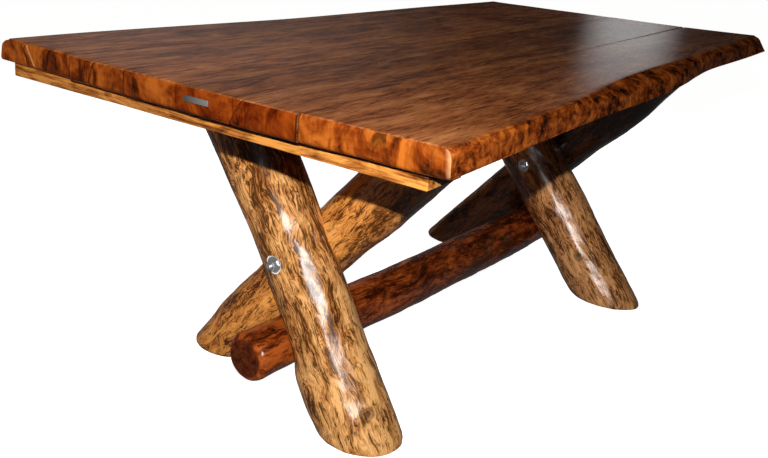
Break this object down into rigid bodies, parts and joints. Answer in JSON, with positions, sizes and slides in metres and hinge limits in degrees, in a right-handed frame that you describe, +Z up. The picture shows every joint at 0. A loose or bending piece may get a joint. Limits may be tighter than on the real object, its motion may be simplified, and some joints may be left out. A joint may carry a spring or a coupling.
{
  "type": "rustic log dining table",
  "caption": "Rustic dining table: thick boards with live edges on crossed peeled-log legs, tied by a log stretcher and through-bolted where the logs cross.",
  "frame": {"origin": "on the floor, under the middle of the table's bounding box", "axes": "+X along the table from the end with the plate to the far end, +Y across it, +Z up"},
  "size_m": [1.94, 1.016, 0.76],
  "materials": {
    "top_wood": "dark red-brown stain under satin varnish",
    "log_wood": "golden tan with dark streaks under gloss varnish",
    "red_log_wood": "red-brown with dark blotches under gloss varnish",
    "pale_wood": "pale golden wood, lightly varnished",
    "steel": "zinc-plated"
  },
  "bodies": {
    "root": {"batten_far": "pale_wood", "batten_near": "pale_wood", "batten_screw_far_1": "steel", "batten_screw_far_2": "steel", "batten_screw_far_3": "steel", "batten_screw_far_4": "steel", "batten_screw_near_1": "steel", "batten_screw_near_2": "steel", "batten_screw_near_3": "steel", "batten_screw_near_4": "steel", "bearer_far": "pale_wood", "bearer_near": "pale_wood", "bearer_screw_far_1": "steel", "bearer_screw_far_2": "steel", "bearer_screw_far_3": "steel", "bearer_screw_far_4": "steel", "bearer_screw_near_1": "steel", "bearer_screw_near_2": "steel", "bearer_screw_near_3": "steel", "bearer_screw_near_4": "steel", "board_left_centre": "top_wood", "board_left_edge": "top_wood", "board_right_centre": "top_wood", "board_right_edge": "top_wood", "cross_bolt_far": "steel", "cross_bolt_near": "steel", "cross_nut_far": "steel", "cross_nut_near": "steel", "cross_washer_far_head": "steel", "cross_washer_far_nut": "steel", "cross_washer_near_head": "steel", "cross_washer_near_nut": "steel", "end_plate": "steel", "head_lag_a": "steel", "head_lag_b": "steel", "head_lag_c": "steel", "head_lag_d": "steel", "leg_far_c": "log_wood", "leg_far_d": "log_wood", "leg_near_a": "log_wood", "leg_near_b": "log_wood", "stretcher_lag_a": "steel", "stretcher_lag_b": "steel", "stretcher_lag_c": "steel", "stretcher_lag_d": "steel", "stretcher_log": "red_log_wood", "tongue_left": "pale_wood", "tongue_middle": "pale_wood", "tongue_right": "pale_wood"}
  },
  "joints": []
}
